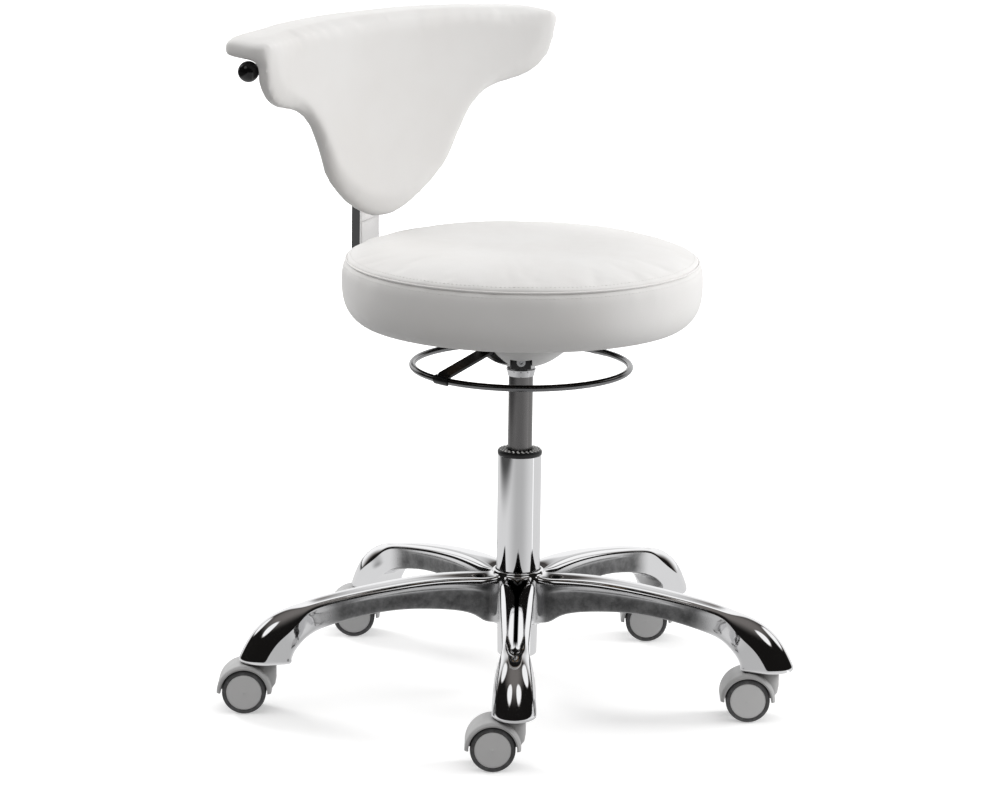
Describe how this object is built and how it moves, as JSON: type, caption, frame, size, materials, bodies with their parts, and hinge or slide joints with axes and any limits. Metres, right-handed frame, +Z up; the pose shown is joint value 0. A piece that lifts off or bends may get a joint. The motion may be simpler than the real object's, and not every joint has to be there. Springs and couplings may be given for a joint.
{
  "type": "dentist stool",
  "caption": "Round work stool with winged backrest, under-seat lift ring, gas column, arched star base and twin-wheel castors.",
  "frame": {"origin": "centre of the seat's flat top face, at the height the stool is shown", "axes": "+Z up along the column, -Y the way the sitter faces, +Y towards the backrest, +X the sitter's left"},
  "size_m": [0.6479, 0.6489, 0.762],
  "materials": {
    "black_painted": "semi-gloss",
    "black_plastic": "matte",
    "bright_steel": "polished",
    "chrome": "mirror polished",
    "dark_steel": "satin",
    "gloss_black": "gloss",
    "hood_grey": "satin",
    "plywood": "bare",
    "polished_aluminium": "polished",
    "tyre_grey": "matte",
    "wheel_grey": "satin",
    "white_leatherette": "fine grain",
    "white_plastic": "satin",
    "zinc_steel": "zinc plated"
  },
  "bodies": {
    "base": {"star_base": "polished_aluminium", "castor_stems": "zinc_steel", "column_tube": "chrome", "guide_bush": "black_plastic", "thrust_bearing": "zinc_steel"},
    "piston": {"piston_rod": "bright_steel", "piston_head": "dark_steel"},
    "seat": {"pressure_tube": "dark_steel", "rod_seal": "black_plastic", "cone_socket": "bright_steel", "mechanism_plate": "black_painted", "mechanism_cover": "white_plastic", "plate_screws": "zinc_steel", "bar_screws": "zinc_steel", "lever_pin": "bright_steel", "clamp_block": "black_painted", "clamp_screw": "zinc_steel", "seat_board": "plywood", "seat_cushion": "white_leatherette", "backrest_bar": "chrome"},
    "valve_pin": {"release_pin": "bright_steel"},
    "lift_ring": {"release_ring": "bright_steel", "ring_arms": "black_painted"},
    "backrest": {"slide_block": "black_plastic", "backrest_shell": "plywood", "backrest_pad": "white_leatherette", "rim_pad": "white_leatherette", "shell_screws": "zinc_steel"},
    "lock_lever": {"lever_rod": "black_painted", "ball_knob": "gloss_black"},
    "castor_1": {"castor_1_hood": "hood_grey", "castor_1_axle": "bright_steel"},
    "wheel_1_left": {"castor_1_wheel_left": "wheel_grey", "castor_1_tyre_left": "tyre_grey"},
    "wheel_1_right": {"castor_1_wheel_right": "wheel_grey", "castor_1_tyre_right": "tyre_grey"},
    "castor_2": {"castor_2_hood": "hood_grey", "castor_2_axle": "bright_steel"},
    "wheel_2_left": {"castor_2_wheel_left": "wheel_grey", "castor_2_tyre_left": "tyre_grey"},
    "wheel_2_right": {"castor_2_wheel_right": "wheel_grey", "castor_2_tyre_right": "tyre_grey"},
    "castor_3": {"castor_3_hood": "hood_grey", "castor_3_axle": "bright_steel"},
    "wheel_3_left": {"castor_3_wheel_left": "wheel_grey", "castor_3_tyre_left": "tyre_grey"},
    "wheel_3_right": {"castor_3_wheel_right": "wheel_grey", "castor_3_tyre_right": "tyre_grey"},
    "castor_4": {"castor_4_hood": "hood_grey", "castor_4_axle": "bright_steel"},
    "wheel_4_left": {"castor_4_wheel_left": "wheel_grey", "castor_4_tyre_left": "tyre_grey"},
    "wheel_4_right": {"castor_4_wheel_right": "wheel_grey", "castor_4_tyre_right": "tyre_grey"},
    "castor_5": {"castor_5_hood": "hood_grey", "castor_5_axle": "bright_steel"},
    "wheel_5_left": {"castor_5_wheel_left": "wheel_grey", "castor_5_tyre_left": "tyre_grey"},
    "wheel_5_right": {"castor_5_wheel_right": "wheel_grey", "castor_5_tyre_right": "tyre_grey"}
  },
  "joints": [
    {"name": "seat_turn", "type": "hinge", "parent": "base", "child": "piston", "pos_m": [0, 0, -0.245], "axis": [0, 0, 1], "continuous": true},
    {"name": "seat_lift", "type": "slide", "parent": "piston", "child": "seat", "axis": [0, 0, 1], "range_m": [-0.08, 0.05]},
    {"name": "release_ring", "type": "hinge", "parent": "seat", "child": "lift_ring", "pos_m": [-0.036, 0, -0.11], "axis": [0, 1, 0], "range_deg": [0, 4]},
    {"name": "release_pin", "type": "slide", "parent": "seat", "child": "valve_pin", "axis": [0, 0, -1], "range_m": [0, 0.0026]},
    {"name": "backrest_height", "type": "slide", "parent": "seat", "child": "backrest", "axis": [0, 0, 1], "range_m": [-0.04, 0.06]},
    {"name": "lock_lever", "type": "hinge", "parent": "backrest", "child": "lock_lever", "pos_m": [-0.03, 0.25329, 0.193], "axis": [0, 0, -1], "range_deg": [0, 12]},
    {"name": "swivel_1", "type": "hinge", "parent": "base", "child": "castor_1", "pos_m": [-0.21361, -0.21065, -0.469], "axis": [0, 0, 1], "continuous": true},
    {"name": "wheel_1_left_spin", "type": "hinge", "parent": "castor_1", "child": "wheel_1_left", "pos_m": [-0.22952, -0.19474, -0.501], "axis": [-0.7071, -0.7071, 0], "continuous": true},
    {"name": "wheel_1_right_spin", "type": "hinge", "parent": "castor_1", "child": "wheel_1_right", "pos_m": [-0.22952, -0.19474, -0.501], "axis": [-0.7071, -0.7071, 0], "continuous": true},
    {"name": "swivel_2", "type": "hinge", "parent": "base", "child": "castor_2", "pos_m": [0.13433, -0.26825, -0.469], "axis": [0, 0, 1], "continuous": true},
    {"name": "wheel_2_left_spin", "type": "hinge", "parent": "castor_2", "child": "wheel_2_left", "pos_m": [0.11842, -0.25234, -0.501], "axis": [-0.7071, -0.7071, 0], "continuous": true},
    {"name": "wheel_2_right_spin", "type": "hinge", "parent": "castor_2", "child": "wheel_2_right", "pos_m": [0.11842, -0.25234, -0.501], "axis": [-0.7071, -0.7071, 0], "continuous": true},
    {"name": "swivel_3", "type": "hinge", "parent": "base", "child": "castor_3", "pos_m": [0.29663, 0.04486, -0.469], "axis": [0, 0, 1], "continuous": true},
    {"name": "wheel_3_left_spin", "type": "hinge", "parent": "castor_3", "child": "wheel_3_left", "pos_m": [0.28072, 0.06077, -0.501], "axis": [-0.7071, -0.7071, 0], "continuous": true},
    {"name": "wheel_3_right_spin", "type": "hinge", "parent": "castor_3", "child": "wheel_3_right", "pos_m": [0.28072, 0.06077, -0.501], "axis": [-0.7071, -0.7071, 0], "continuous": true},
    {"name": "swivel_4", "type": "hinge", "parent": "base", "child": "castor_4", "pos_m": [0.049, 0.29597, -0.469], "axis": [0, 0, 1], "continuous": true},
    {"name": "wheel_4_left_spin", "type": "hinge", "parent": "castor_4", "child": "wheel_4_left", "pos_m": [0.03309, 0.31188, -0.501], "axis": [-0.7071, -0.7071, 0], "continuous": true},
    {"name": "wheel_4_right_spin", "type": "hinge", "parent": "castor_4", "child": "wheel_4_right", "pos_m": [0.03309, 0.31188, -0.501], "axis": [-0.7071, -0.7071, 0], "continuous": true},
    {"name": "swivel_5", "type": "hinge", "parent": "base", "child": "castor_5", "pos_m": [-0.26634, 0.13806, -0.469], "axis": [0, 0, 1], "continuous": true},
    {"name": "wheel_5_left_spin", "type": "hinge", "parent": "castor_5", "child": "wheel_5_left", "pos_m": [-0.28225, 0.15397, -0.501], "axis": [-0.7071, -0.7071, 0], "continuous": true},
    {"name": "wheel_5_right_spin", "type": "hinge", "parent": "castor_5", "child": "wheel_5_right", "pos_m": [-0.28225, 0.15397, -0.501], "axis": [-0.7071, -0.7071, 0], "continuous": true}
  ],
  "couplings": [
    {"joint": "release_pin", "follows": "release_ring", "m_per_rad": 0.035}
  ]
}
